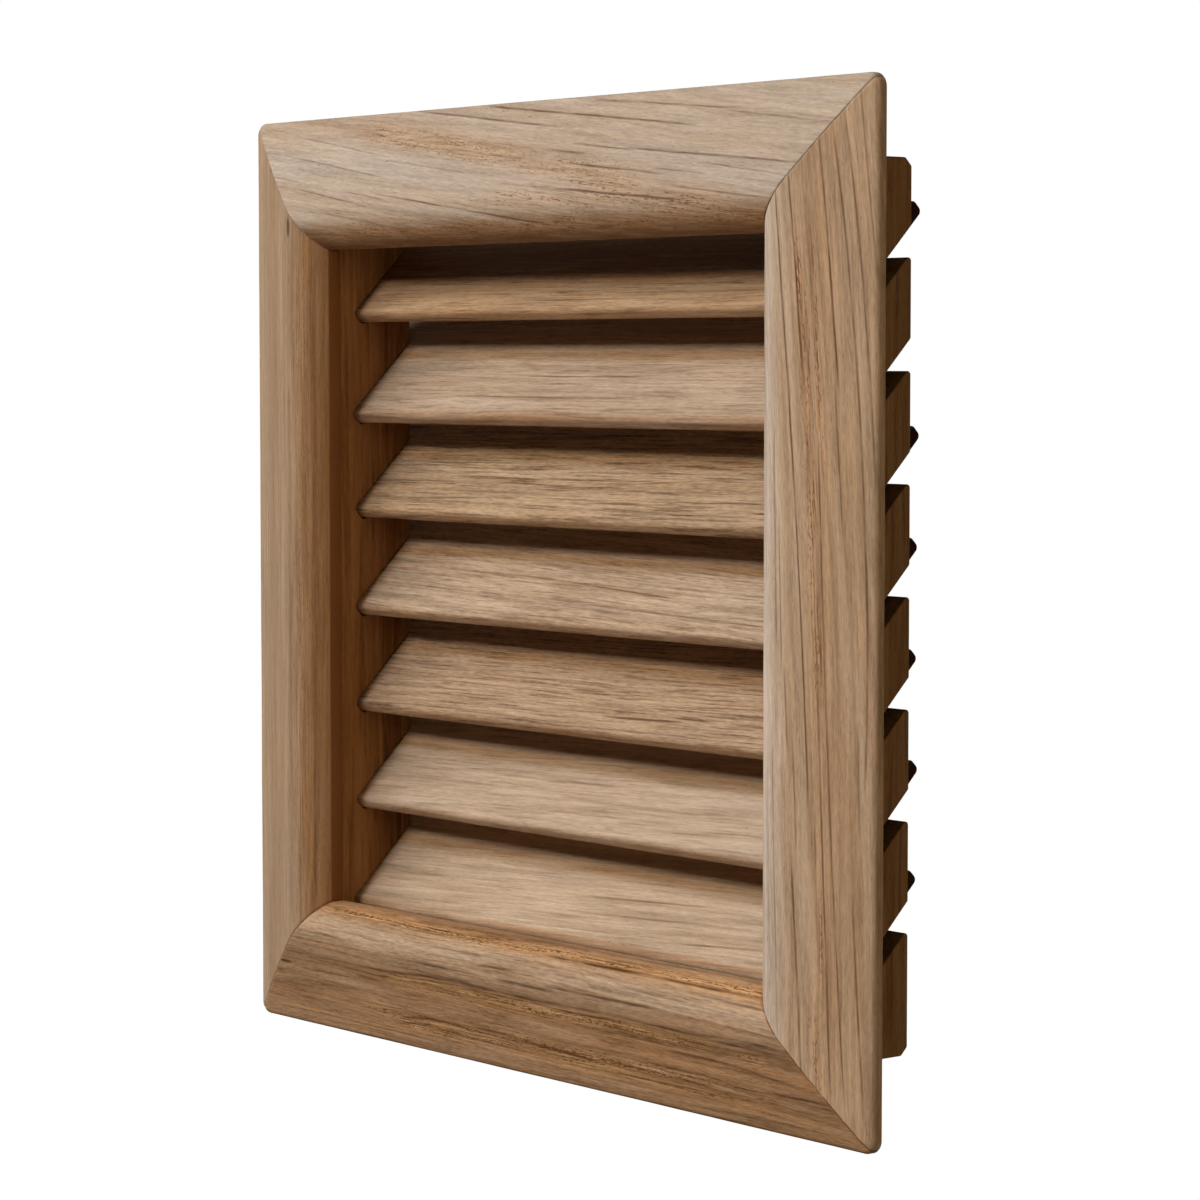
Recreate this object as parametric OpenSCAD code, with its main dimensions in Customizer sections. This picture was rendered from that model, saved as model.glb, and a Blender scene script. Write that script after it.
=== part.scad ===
// Wooden vent grille: a mitred, moulded frame on two slotted side boards,
// with slats at 45 degrees glued into the slots.
// The wall plane is y = 0, the room lies towards -Y and the duct towards +Y.
// The origin is the centre of the opening, in the wall plane.

/* [Frame] */
// Outer width and height of the square frame
frame_w = 175; // [140:1:260]
// Width of the moulding, from its outer edge to the opening
face_w = 25; // [22:0.5:34]
// Thickness of the moulding at its crown
crown_h = 7.5; // [6.8:0.1:9]
// Distance from the crown to the edge of the opening
crown_in = 6.9; // [5.5:0.1:7.1]
// Radius of the rounded inner edge
inner_r = 7.4; // [7.2:0.1:9.5]
// Thickness of the moulding at its outer edge
edge_h = 2.4; // [1.8:0.1:3.5]
// Radius of the eased outer edge
edge_r = 1.1; // [0.5:0.1:1.3]
// Radius of the broad arc between the outer edge and the crown
face_r = 120; // [70:5:300]
// Radius of the rounded outer corners
corner_r = 2.4; // [1:0.1:6]

/* [Side boards] */
// Depth of the side boards behind the wall plane
board_d = 17.7; // [15:0.1:22]
// Thickness of a side board
board_t = 10.7; // [8:0.1:16]
// Set-back of a board's inner face from the edge of the opening
board_setback = 1.8; // [0:0.1:4]
// Length of board that runs on behind each rail
board_lap = 12.5; // [6:0.5:18]
// Bevel on the boards' back corners
board_bevel = 1.4; // [0.6:0.1:3]
// Rounding of the boards' sawn edges
arris_r = 0.6; // [0.2:0.1:1]

/* [Slats] */
// Width of a slat along its slope
slat_w = 25.5; // [21:0.5:30]
// Thickness of a slat
slat_t = 3; // [2.6:0.1:4]
// Slope of the slats, rising towards the duct
slat_angle = 45; // [38:1:52]
// Vertical spacing of the slats
slat_pitch = 18.8; // [15:0.1:24]
// Depth of the slats' front edges behind the wall plane
slat_inset = 5; // [3.5:0.1:6]
// Height of the row of slats above the centre of the opening
row_rise = 2.05; // [0:0.05:3]
// Rounding of the slats' long edges
nose_r = 1; // [0.4:0.1:1.2]
// Distance from a slat's end to the outer face of the side board
slat_recess = 4.7; // [3:0.1:7]
// Play of a slat above its slot's floor and in front of its nose
slot_gap = 0.2; // [0.1:0.05:0.4]
// Extra width of each slat at its front edge, from the top slat downwards
slat_lead = [0, 0.75, 0, 0.1, 0, 0, 1];
// Shift of each slat to the left, from the top slat downwards
slat_shift = [0, 2.3, 0, 0.3, 0.4, 0, 0.3];

/* [Hidden] */
$fn = 64;
opening_w = frame_w - 2 * face_w;
board_in = opening_w / 2 + board_setback;
board_out = board_in + board_t;
board_h = opening_w + 2 * board_lap;
slat_l = 2 * (board_out - slat_recess);
slat_count = ceil(opening_w / slat_pitch);

// Centres of the arcs in the moulding's section: the eased outer edge, the
// rounded inner edge, and the broad arc that is tangent to them both
edge_c = [edge_r, edge_h - edge_r];
inner_c = [face_w - crown_in, crown_h - inner_r];
face_c = apex(edge_c, inner_c, face_r - edge_r, face_r - inner_r);
// Angle at which the inner rounding meets the side of the opening
inner_end = acos(crown_in / inner_r);

// Depth of a slat's centre line behind the wall plane
slat_y = slat_inset + nose_r + (slat_w / 2 - nose_r) * cos(slat_angle)
       + (slat_t / 2 - nose_r) * sin(slat_angle);

frame_wood = [0.72, 0.58, 0.44];
board_wood = [0.42, 0.28, 0.17];
slat_wood = [0.76, 0.63, 0.48];

// Points along a circle from one angle to another
function arc(c, r, from, to, steps) =
    [for (i = [0 : steps]) c + r * [cos(from + (to - from) * i / steps),
                                    sin(from + (to - from) * i / steps)]];

// Point below the line from p to q, at distance a from p and b from q
function apex(p, q, a, b) =
    let (d = norm(q - p), u = (q - p) / d, along = (a * a - b * b + d * d) / (2 * d))
    p + along * u - sqrt(a * a - along * along) * [-u.y, u.x];

// Direction from one point to another, in degrees
function toward(p, q) = atan2(q.y - p.y, q.x - p.x);

// Value for slat i, or none beyond the end of the list
function per_slat(list, i) = i <= len(list) ? list[i - 1] : 0;

// Height of slat i, counted from the top
function slat_z(i) = row_rise + ((slat_count + 1) / 2 - i) * slat_pitch;

// Section of the moulding: x runs in from the outer edge, y out from the wall
module moulding_section() {
    face_start = toward(face_c, edge_c);
    face_end = toward(face_c, inner_c);
    polygon(concat(
        [[0, 0]],
        arc(edge_c, edge_r, 180, face_start, 6),
        arc(face_c, face_r, face_start, face_end, 14),
        arc(inner_c, inner_r, face_end, inner_end, 14),
        [[face_w, 0]]
    ));
}

// Square with rounded corners, centred
module rounded_square(w, r) {
    square([w, w - 2 * r], center = true);
    square([w - 2 * r, w], center = true);
    for (x = [-1, 1], z = [-1, 1])
        translate([x, z] * (w / 2 - r)) circle(r = r);
}

// Strip with rounded long edges, centred
module rounded_strip(w, t, r) {
    square([w, t - 2 * r], center = true);
    square([w - 2 * r, t], center = true);
    for (x = [-1, 1], y = [-1, 1])
        translate([x * (w / 2 - r), y * (t / 2 - r)]) circle(r = r);
}

// Draws a section given as [depth, height] and carries it along X, centred
module along_x(length) {
    translate([-length / 2, 0, 0])
        rotate([90, 0, 90]) linear_extrude(length) children();
}

// Quarter of the frame's outline, cut by the two mitres
module mitred_blank() {
    rotate([90, 0, 0]) linear_extrude(crown_h)
        intersection() {
            polygon([[0, 0], [-frame_w / 2, -frame_w / 2], [frame_w / 2, -frame_w / 2]]);
            rounded_square(frame_w, corner_r);
        }
}

// Length of moulding with a mitre at each end, turned to its side of the frame
module moulding_piece(turn) {
    rotate([0, turn, 0])
        intersection() {
            translate([0, 0, -frame_w / 2]) along_x(frame_w) rotate(90) moulding_section();
            mitred_blank();
        }
}

// Places a section drawn along the slope at the height of slat i
module on_slope(i) {
    translate([slat_y, slat_z(i)]) rotate(slat_angle) children();
}

// Slot for slat i, from just in front of its nose out past the board's back
module slot(i) {
    front = -slat_w / 2 - per_slat(slat_lead, i) - slot_gap;
    length = 2 * slat_w;
    on_slope(i)
        translate([front + length / 2, slot_gap / 2])
            rounded_strip(length, slat_t + slot_gap, nose_r);
}

// Outline of a side board as [depth, height], carried forward by extra
module board_outline(extra = 0) {
    h = board_h / 2;
    polygon([
        [-extra, -h], [board_d - board_bevel, -h], [board_d, -h + board_bevel],
        [board_d, h - board_bevel], [board_d - board_bevel, h], [-extra, h]
    ]);
}

// Side board with a slot for each slat. The sawn edges are rounded on an
// outline that runs on in front, so that the glued front edges stay square.
module side_board() {
    along_x(board_t, $fn = 24)
        intersection() {
            translate([0, -board_h]) square([board_d, 2 * board_h]);
            offset(r = arris_r) offset(delta = -arris_r)
                difference() {
                    board_outline(2 * arris_r);
                    for (i = [1 : slat_count]) slot(i);
                }
        }
}

module top_rail() color(frame_wood) moulding_piece(180);
module bottom_rail() color(frame_wood) moulding_piece(0);
module left_stile() color(frame_wood) moulding_piece(90);
module right_stile() color(frame_wood) moulding_piece(-90);

module left_side_board() color(board_wood)
    translate([-(board_in + board_out) / 2, 0, 0]) side_board();
module right_side_board() color(board_wood)
    translate([(board_in + board_out) / 2, 0, 0]) side_board();

module slat(i) color(slat_wood)
    translate([-per_slat(slat_shift, i), 0, 0])
        along_x(slat_l)
            on_slope(i)
                translate([-per_slat(slat_lead, i) / 2, 0])
                    rounded_strip(slat_w + per_slat(slat_lead, i), slat_t, nose_r);

top_rail();
bottom_rail();
left_stile();
right_stile();
left_side_board();
right_side_board();
for (i = [1 : slat_count])
    slat(i);
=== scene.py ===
import math

import bpy
import numpy as np
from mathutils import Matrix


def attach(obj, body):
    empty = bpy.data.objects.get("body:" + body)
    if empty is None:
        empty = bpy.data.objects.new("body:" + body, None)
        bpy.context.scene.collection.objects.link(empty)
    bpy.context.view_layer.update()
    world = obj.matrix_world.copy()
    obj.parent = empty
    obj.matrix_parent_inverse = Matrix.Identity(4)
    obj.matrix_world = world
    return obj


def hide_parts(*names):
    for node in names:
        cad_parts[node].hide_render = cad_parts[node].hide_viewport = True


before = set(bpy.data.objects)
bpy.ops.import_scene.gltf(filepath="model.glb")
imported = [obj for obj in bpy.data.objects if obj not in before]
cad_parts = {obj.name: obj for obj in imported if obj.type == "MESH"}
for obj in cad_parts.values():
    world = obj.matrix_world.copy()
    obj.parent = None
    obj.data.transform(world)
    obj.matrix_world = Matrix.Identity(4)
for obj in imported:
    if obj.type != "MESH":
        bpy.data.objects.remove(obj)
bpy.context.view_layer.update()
print("frame loaded:", len(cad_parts), "pieces")

mm = 0.001

# Surfaces


def arc(centre, radius, start, end, count):
    # centre + radius * (cos a, sin a), a running evenly from start to end, in degrees
    a = np.radians(np.linspace(start, end, count))
    return np.stack([centre[0] + radius * np.cos(a), centre[1] + radius * np.sin(a)], 1)


def toward(p, q):
    # the angle at which q is seen from p
    return math.degrees(math.atan2(q[1] - p[1], q[0] - p[0]))


def respace(points, step):
    # the same closed line with a point at most every step along each of its straight runs
    runs = []
    for p, q in zip(points, np.roll(points, -1, 0)):
        count = max(1, int(math.ceil(np.linalg.norm(q - p) / step)))
        runs.append(p + (q - p) * (np.arange(count) / count)[:, None])
    return np.concatenate(runs)


def outwards(loop):
    # unit normals of a closed line in the plane, pointing away from what it encloses
    ahead = np.roll(loop, -1, 0) - loop
    ahead /= np.linalg.norm(ahead, axis=1)[:, None] + 1e-12
    tangent = ahead + np.roll(ahead, 1, 0)
    tangent /= np.linalg.norm(tangent, axis=1)[:, None] + 1e-12
    x, y = loop.T
    turns = np.sum(x * np.roll(y, -1) - np.roll(x, -1) * y)
    side = 1.0 if turns > 0 else -1.0
    return side * np.stack([tangent[:, 1], -tangent[:, 0]], 1)


def ripple(u, v, seed):
    # sum of seven sine waves over the two parameters, each faster and weaker than the one before,
    # between about -1 and 1
    rng = np.random.default_rng(seed)
    total = np.zeros(np.broadcast(u, v).shape)
    for k in range(7):
        fu, fv, phase = rng.uniform(0.3, 1.0, 3) * (1 + k * 0.6)
        total = total + np.sin(2 * math.pi * (fu * u + fv * v) + 40 * phase) / (1 + 0.5 * k)
    return total / 3.0


def skin(name, grid):
    # closes a grid of points (rows along the piece, columns round its section) and its two ends into
    # a mesh in metres, turned the other way out where the volume inside comes out negative
    rows, columns = grid.shape[:2]
    index = np.arange(rows * columns).reshape(rows, columns)
    nextColumn = np.roll(index, -1, 1)
    quads = np.stack([index[:-1], nextColumn[:-1], nextColumn[1:], index[1:]], -1).reshape(-1, 4)
    p = grid.reshape(-1, 3)
    a, b, c, d = (p[quads[:, k]] for k in range(4))
    volume = np.einsum("ij,ij->", np.cross(a, b), c) + np.einsum("ij,ij->", np.cross(a, c), d)
    firstCap, lastCap = index[0], index[-1][::-1]
    if volume < 0:
        quads, firstCap, lastCap = quads[:, ::-1], firstCap[::-1], lastCap[::-1]
    faces = quads.tolist() + [firstCap[::-1].tolist(), lastCap[::-1].tolist()]
    mesh = bpy.data.meshes.new(name)
    mesh.from_pydata((p * mm).tolist(), [], faces)
    smooth = np.ones(len(faces), bool)
    smooth[-2:] = False
    mesh.polygons.foreach_set("use_smooth", smooth)
    mesh.validate()
    mesh.update()
    piece = bpy.data.objects.new(name, mesh)
    bpy.context.scene.collection.objects.link(piece)
    return piece


def markEndGrain(piece, along):
    # how squarely each face cuts the grain: |normal . along|, from 0 to 1
    faces = piece.data.polygons
    normals = np.empty(len(faces) * 3, np.float32)
    faces.foreach_get("normal", normals)
    squareness = np.abs(normals.reshape(-1, 3) @ np.array(along, np.float32))
    piece.data.attributes.new("endGrainAndShade", "FLOAT", "FACE").data.foreach_set("value", squareness)


def fixed(piece, node, finish):
    # the piece stands for its CAD node, and both take the same finish
    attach(piece, "root")
    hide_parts(node)
    piece.data.materials.append(finish)
    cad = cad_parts[node].data
    if cad.materials:
        cad.materials[0] = finish
    else:
        cad.materials.append(finish)


# The oak finish


class Measure:
    # a number or a vector that the finish works out at each point of the wood
    def __init__(self, tree, socket):
        self.tree = tree
        self.socket = socket

    def calc(self, operation, *others):
        node = self.tree.nodes.new("ShaderNodeMath")
        node.operation = operation
        for socket, value in zip(node.inputs, (self,) + others):
            plug(self.tree, socket, value)
        return Measure(self.tree, node.outputs[0])

    def __add__(self, other):
        return self.calc("ADD", other)

    def __sub__(self, other):
        return self.calc("SUBTRACT", other)

    def __mul__(self, other):
        return self.calc("MULTIPLY", other)

    def __truediv__(self, other):
        return self.calc("DIVIDE", other)

    def flip(self):
        # one minus the value
        return self.calc("MULTIPLY_ADD", -1.0, 1.0)

    def rise(self, low, high, start=0.0, end=1.0):
        # start below low, end above high, and an eased step between them
        node = self.tree.nodes.new("ShaderNodeMapRange")
        node.interpolation_type = "SMOOTHSTEP"
        node.inputs["To Min"].default_value = start
        node.inputs["To Max"].default_value = end
        plug(self.tree, node.inputs["Value"], self)
        plug(self.tree, node.inputs["From Min"], low)
        plug(self.tree, node.inputs["From Max"], high)
        return Measure(self.tree, node.outputs["Result"])

    def fall(self, low, high):
        # the same step downwards, from 1 to 0
        return self.rise(low, high, 1.0, 0.0)

    def hill(self, centre, width):
        # exp(-((value - centre) / width) squared)
        off = (self - centre) / width
        return (off * off * -1.0).calc("EXPONENT")


def plug(tree, socket, value):
    if isinstance(value, Measure):
        tree.links.new(value.socket, socket)
    else:
        socket.default_value = value


def blend(tree, first, second, amount, how="MIX"):
    # mixes two colours by an amount
    node = tree.nodes.new("ShaderNodeMix")
    node.data_type = "RGBA"
    node.blend_type = how
    plug(tree, node.inputs["Factor"], amount)
    plug(tree, node.inputs["A"], first)
    plug(tree, node.inputs["B"], second)
    return Measure(tree, node.outputs["Result"])


def tone(r, g, b):
    # a colour as read off the wood, 0 to 255 a channel, made linear
    c = np.array([r, g, b]) / 255.0
    c = np.where(c <= 0.04045, c / 12.92, ((c + 0.055) / 1.055) ** 2.4)
    return (float(c[0]), float(c[1]), float(c[2]), 1.0)


oakBase = {
    "along": (1, 0, 0),  # direction of the grain
    "across": (0, 0, 1),  # direction across the face
    "deep": (0, 1, 0),  # direction into the wood
    "plank": 0.0,  # which stretch of plank the piece was cut from
    "slant": 0.0,  # drift of the grain across the face, per mm along
    "curve": 0.0,  # and how much that drift changes, per mm again
    "wander": 0.6,  # waviness of the grain, mm
    "wanderLength": 45.0,
    "ringSpacing": 3.0,  # mm
    "ringDrift": 1.8,  # how far the rings wander, counted in rings
    "ringTurn": 35.0,  # turn of the rings out of the face's normal, degrees
    "ringWidth": 0.3,  # width of a ring's dark line, mm
    "ringDepth": 0.45,
    "ringGaps": 0.45,  # how much of a ring's line is left out
    "earlyDepth": 0.06,  # darkening of the early wood beside each ring's line
    "streakDepth": 0.2,  # lens-shaped dark streaks
    "streakSize": (9.0, 0.7),  # their length and width, mm
    "streakLevel": 0.56,  # and how few they are
    "vesselDepth": 0.16,  # long thin lines
    "fibreDepth": 0.1,
    "broadDepth": 0.06,  # bands of tone a few mm wide
    "combDepth": 1.2,  # fine light and dark rows inside the porous bands
    "poreDepth": 0.7,
    "poreLevel": 0.77,  # how few the pores are in solid wood
    "poreGain": 0.29,  # and how many more there are in a porous band
    "strayPores": 0.45,  # porous patches outside the bands
    "relief": (0.05, 0.03, 0.03),  # height of the fibres, the fine grain and the pores, mm
    "lines": (),  # the main grain lines: place across, slope, curve, half width, from, to, strength
    "bands": (),  # porous bands, with the same values
    "stripes": (),  # stripes of another tone, some of them painted shade and painted sheen: place across, slope, half width, strength, tone
    "marks": (),  # dark marks: along, across, half length, half width, strength
    "pale": (196, 170, 142),
    "warm": (178, 142, 106),
    "grey": (160, 140, 122),
    "pore": (124, 80, 46),
    "halo": (184, 134, 90),  # the wood round the pores of a porous band
    "haloDepth": 0.5,
    "line": (202, 190, 170),  # what a ring's line leaves of the colour
    "mainLine": (152, 132, 114),  # and a main grain line
    "mark": (62, 46, 34),
    "darkening": (1.12, 1.25),  # how much faster green and blue fall off than red in darker wood
    "warmth": 0.5,  # share of the warm tone where it comes
    "greyness": 0.35,  # and of the grey one
    "mitre": (0.0, 0.0),  # darkness of the joints at the left and the right end
    "joint": (48, 32, 22),
    "jointWidth": (0.03, 0.2),  # half the joint's black core, and out to where it ends, mm
    "glue": 0.0,  # orange glue beside the right-hand joint
    "glueTone": (178, 112, 54),
    "gluePlace": (0.25, 0.35),  # distance from the joint and width, mm
    "inside": (),  # tone of the flat inner edge, where it differs
    "insideDepth": 0.9,
    "insideFrom": (-3.0, -2.7),  # the flat inner edge starts this far behind the wall plane, mm
    "insideTo": (63.2, 64.0),  # and ends this far from the middle of the opening, mm
    "endDepth": 0.0,  # darkening of the end grain, with painted shade on the slat ends and slot walls
    "endGrainAndShade": (62, 42, 28),
    "roughness": 0.62,
    "specular": 0.02,
}

# the noises in the finish: length along the grain, across it and into the wood in mm, detail, seed
# and, for those that come and go, the values at which they start to show and show in full
oakNoise = {
    "ringDrift": (70.0, 6.0, 6.0, 0.0, 5.5),
    "ringFade": (26.0, 3.0, 3.0, 1.0, 11.0),
    "strayPores": (30.0, 2.0, 2.0, 2.0, 17.0, 0.5, 0.8),
    "poreRows": (30.0, 0.36, 0.36, 0.0, 21.0, 0.4, 0.6),
    "pores": (0.95, 0.2, 0.2, 0.0, 23.0),
    "fibre": (22.0, 0.6, 0.6, 2.0, 29.0),
    "fine": (2.2, 0.25, 0.25, 1.0, 31.0),
    "warmth": (48.0, 3.0, 3.0, 2.0, 41.0, 0.32, 0.68),
    "greyness": (34.0, 2.0, 2.4, 2.0, 43.0, 0.42, 0.7),
    "jointBreaks": (2.5, 2.5, 2.5, 2.0, 47.0),
    "thread": (30.0, 1.3, 1.3, 0.0, 61.0),
    "threadFade": (15.0, 1.6, 1.6, 0.0, 67.0, 0.42, 0.62),
    "broad": (34.0, 1.9, 2.4, 1.0, 71.0),
    "lineBreaks": (8.0, 1.0, 1.0, 1.0, 83.0, 0.3, 0.6),
    "comb": (16.0, 0.3, 0.3, 1.0, 91.0),
}
noiseGain = 5.0  # the noises keep near their middle, so a depth is scaled up to what it says


def oakFinish(name, **changes):
    look = dict(oakBase)
    look.update(changes)
    material = bpy.data.materials.new(name)
    material.use_nodes = True
    tree = material.node_tree
    shader = tree.nodes["Principled BSDF"]
    place = tree.nodes.new("ShaderNodeTexCoord").outputs["Object"]

    def reach(direction):
        # distance along a direction from the middle of the opening, mm
        node = tree.nodes.new("ShaderNodeVectorMath")
        node.operation = "DOT_PRODUCT"
        tree.links.new(place, node.inputs[0])
        node.inputs[1].default_value = direction
        return Measure(tree, node.outputs["Value"]) * (1 / mm)

    u = reach(look["along"])
    v = reach(look["across"])
    w = reach(look["deep"])

    def cloud(alongLength, acrossLength, deepLength, detail, seed, cross=v):
        # noise stretched to these lengths in mm, between 0 and 1
        joined = tree.nodes.new("ShaderNodeCombineXYZ")
        shift = look["plank"] + seed
        plug(tree, joined.inputs[0], u.calc("MULTIPLY_ADD", 1 / alongLength, shift))
        plug(tree, joined.inputs[1], cross.calc("MULTIPLY_ADD", 1 / acrossLength, 2.3 * shift))
        plug(tree, joined.inputs[2], w.calc("MULTIPLY_ADD", 1 / deepLength, -1.7 * shift))
        node = tree.nodes.new("ShaderNodeTexNoise")
        tree.links.new(joined.outputs[0], node.inputs["Vector"])
        node.inputs["Scale"].default_value = 1.0
        node.inputs["Detail"].default_value = detail
        node.inputs["Roughness"].default_value = 0.55
        return Measure(tree, node.outputs["Fac"])

    # the grain's own place across: straight lines that drift, bend and wave along the piece
    length = look["wanderLength"]
    drift = u * look["slant"] + u * u * look["curve"]
    wave = (cloud(length, 14.0, 14.0, 1.0, 3.1) - 0.5) * (2 * look["wander"])
    flutter = (cloud(length / 5, 2.5, 2.5, 1.0, 7.7) - 0.5) * (0.6 * look["wander"])
    settled = v - drift + wave + flutter

    def noise(name, cross=settled):
        # one of the listed noises, following the grain, and eased where it comes and goes
        shape, ends = oakNoise[name][:5], oakNoise[name][5:]
        value = cloud(*shape, cross)
        return value.rise(*ends) if ends else value

    # the rings: planes turned out of the face's normal, each with a thin dark line
    turn = math.radians(look["ringTurn"])
    ring = (settled * math.cos(turn) + w * math.sin(turn)) / look["ringSpacing"] + look["plank"]
    ring = ring + (noise("ringDrift", v) - 0.5) * look["ringDrift"]
    nearest = (ring + 0.5).calc("FLOOR")
    ringOff = (ring - nearest).calc("ABSOLUTE") * look["ringSpacing"]
    chance = tree.nodes.new("ShaderNodeTexWhiteNoise")
    chance.noise_dimensions = "1D"
    plug(tree, chance.inputs["W"], nearest)
    each = Measure(tree, chance.outputs["Value"])
    fade = noise("ringFade").rise(look["ringGaps"] - 0.1, look["ringGaps"] + 0.1)
    # each ring's line has a strength of its own
    line = ringOff.fall(0.04, look["ringWidth"]) * fade * (each * 0.7 + 0.3)
    early = (ring - ring.calc("FLOOR")).flip().calc("POWER", 3.0)

    # the main lines, bands and stripes keep near their places, so they wave less than the rest
    grain = v + wave * 0.25 + flutter * 0.4

    def offLine(position, slope, curve):
        # distance across from a line that drifts and bends along the piece
        return grain - ((u * curve + slope) * u + position)

    def between(first, last, soft):
        # 1 between two places along the piece, with eased ends
        span = last - first
        fromMiddle = u.calc("MULTIPLY_ADD", 2 / span, -(first + last) / span).calc("ABSOLUTE")
        return fromMiddle.fall(1 - 2 * soft / span, 1 + 2 * soft / span)

    # pores: short dashes in rows, many in the porous bands and few elsewhere
    porous = noise("strayPores") * look["strayPores"]
    halo = 0.0
    for position, slope, curve, half, first, last, strength in look["bands"]:
        inBand = offLine(position, slope, curve).hill(0.0, half)
        ends = between(first, last, min(6.0, (last - first) / 4))
        patchy = cloud(14.0, 0.9, 0.9, 1.0, 19.0 + position / 7).rise(0.2, 0.52)
        inBand = inBand * ends * patchy * strength
        porous = inBand + porous
        halo = inBand + halo
    rows = noise("poreRows") * 0.8 + 0.2
    porous = (porous * rows).calc("MINIMUM", 1.0)
    dash = noise("pores")
    level = porous * -look["poreGain"] + look["poreLevel"]
    pores = dash.rise(level, level + 0.1)

    drawn = 0.0
    for position, slope, curve, half, first, last, strength in look["lines"]:
        stroke = offLine(position, slope, curve).calc("ABSOLUTE").fall(0.0, half)
        drawn = stroke * between(first, last, min(4.0, (last - first) / 4)) * strength + drawn

    # fibres, lens-shaped streaks, long thin lines and slow changes of tone
    fibre = noise("fibre")
    fine = noise("fine")
    broad = noise("broad")
    thread = (noise("thread") - 0.5).calc("ABSOLUTE").fall(0.0, 0.045)
    vessel = thread * noise("threadFade")
    streakLong, streakWide = look["streakSize"]
    streaks = cloud(streakLong, streakWide, streakWide * 2.5, 0.0, 37.0, settled)
    streaks = streaks.rise(look["streakLevel"], look["streakLevel"] + 0.16)
    warmth = noise("warmth")
    greyness = noise("greyness")

    colour = blend(tree, tone(*look["pale"]), tone(*look["warm"]), warmth * look["warmth"])
    colour = blend(tree, colour, tone(*look["grey"]), greyness * look["greyness"])
    # stripes of another tone, among them the painted shade and painted sheen given in the tables below
    for position, slope, half, strength, stripeTone in look["stripes"]:
        stripe = offLine(position, slope, 0.0).hill(0.0, half)
        ragged = cloud(26.0, 1.1, 1.1, 2.0, 53.0 + position / 5, settled).rise(0.25, 0.6) * 0.6 + 0.4
        colour = blend(tree, colour, tone(*stripeTone), stripe * ragged * strength)
    if look["bands"]:
        halo = halo.calc("MINIMUM", 1.0)
        colour = blend(tree, colour, tone(*look["halo"]), halo * look["haloDepth"])
    grained = noiseGain * look["fibreDepth"]
    shade = (fibre - 0.5) * grained + (fine - 0.5) * grained
    shade = shade + (broad - 0.5) * (noiseGain * look["broadDepth"]) - early * look["earlyDepth"] + 1.0
    shade = shade - streaks * look["streakDepth"] - vessel * look["vesselDepth"]
    if look["bands"]:
        comb = noise("comb") - 0.5
        shade = shade + comb * halo * look["combDepth"]
    # darker wood is also warmer
    greenPower, bluePower = look["darkening"]
    tint = tree.nodes.new("ShaderNodeCombineColor")
    plug(tree, tint.inputs[0], shade)
    plug(tree, tint.inputs[1], shade.calc("POWER", greenPower))
    plug(tree, tint.inputs[2], shade.calc("POWER", bluePower))
    colour = blend(tree, colour, Measure(tree, tint.outputs[0]), 1.0, "MULTIPLY")
    colour = blend(tree, colour, tone(*look["line"]), line * look["ringDepth"], "MULTIPLY")
    if look["lines"]:
        broken = noise("lineBreaks") * 0.5 + 0.5
        drawn = (drawn * broken).calc("MINIMUM", 1.0)
        colour = blend(tree, colour, tone(*look["mainLine"]), drawn, "MULTIPLY")
    colour = blend(tree, colour, tone(*look["pore"]), pores * look["poreDepth"] * (porous * 0.5 + 0.5))

    for markU, markV, halfLong, halfWide, strength in look["marks"]:
        spot = u.hill(markU, halfLong) * v.hill(markV, halfWide)
        colour = blend(tree, colour, tone(*look["mark"]), spot.rise(0.25, 0.8) * strength)

    if look["inside"]:
        # the flat inner edge behind the rounding, as dark as the boards
        flat = w.rise(*look["insideFrom"]) * v.calc("ABSOLUTE").fall(*look["insideTo"])
        colour = blend(tree, colour, tone(*look["inside"]), flat * look["insideDepth"])

    left, right = look["mitre"]
    if left or right:
        # a dark line where two lengths meet: the distance from the diagonal plane
        split = tree.nodes.new("ShaderNodeSeparateXYZ")
        tree.links.new(place, split.inputs[0])
        x = Measure(tree, split.outputs["X"])
        z = Measure(tree, split.outputs["Z"]).calc("ABSOLUTE")
        off = (x.calc("ABSOLUTE") - z).calc("ABSOLUTE") * (1 / mm / math.sqrt(2))
        broken = noise("jointBreaks", v)
        atRight = x.calc("GREATER_THAN", 0.0)
        if look["glue"]:
            squeezed = off.hill(*look["gluePlace"]) * broken.rise(0.35, 0.6) * atRight
            colour = blend(tree, colour, tone(*look["glueTone"]), squeezed * look["glue"])
        joint = off.fall(*look["jointWidth"]) * broken.rise(0.25, 0.6)
        colour = blend(tree, colour, tone(*look["joint"]), joint * (atRight * (right - left) + left))

    if look["endDepth"]:
        # the end grain, darker where the wood was sawn across, and painted shade: near black, it also darkens
        # the slat ends and the slanted slot walls of the boards, which lie in shade
        end = tree.nodes.new("ShaderNodeAttribute")
        end.attribute_name = "endGrainAndShade"
        sawnAndShaded = Measure(tree, end.outputs["Fac"]).rise(0.3, 1.0) * look["endDepth"]
        colour = blend(tree, colour, tone(*look["endGrainAndShade"]), sawnAndShaded, "MULTIPLY")

    fibreHeight, fineHeight, poreSink = look["relief"]
    height = (fibre - 0.5) * fibreHeight + (fine - 0.5) * fineHeight - dash.rise(0.62, 0.76) * poreSink
    bump = tree.nodes.new("ShaderNodeBump")
    bump.inputs["Strength"].default_value = 1.0
    bump.inputs["Distance"].default_value = 1.0
    plug(tree, bump.inputs["Height"], height * mm)
    tree.links.new(bump.outputs["Normal"], shader.inputs["Normal"])
    plug(tree, shader.inputs["Base Color"], colour)
    plug(tree, shader.inputs["Roughness"], (fibre - 0.5) * 0.2 + pores * 0.15 + look["roughness"])
    shader.inputs["Specular IOR Level"].default_value = look["specular"]
    return material


# The frame of moulding

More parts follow.
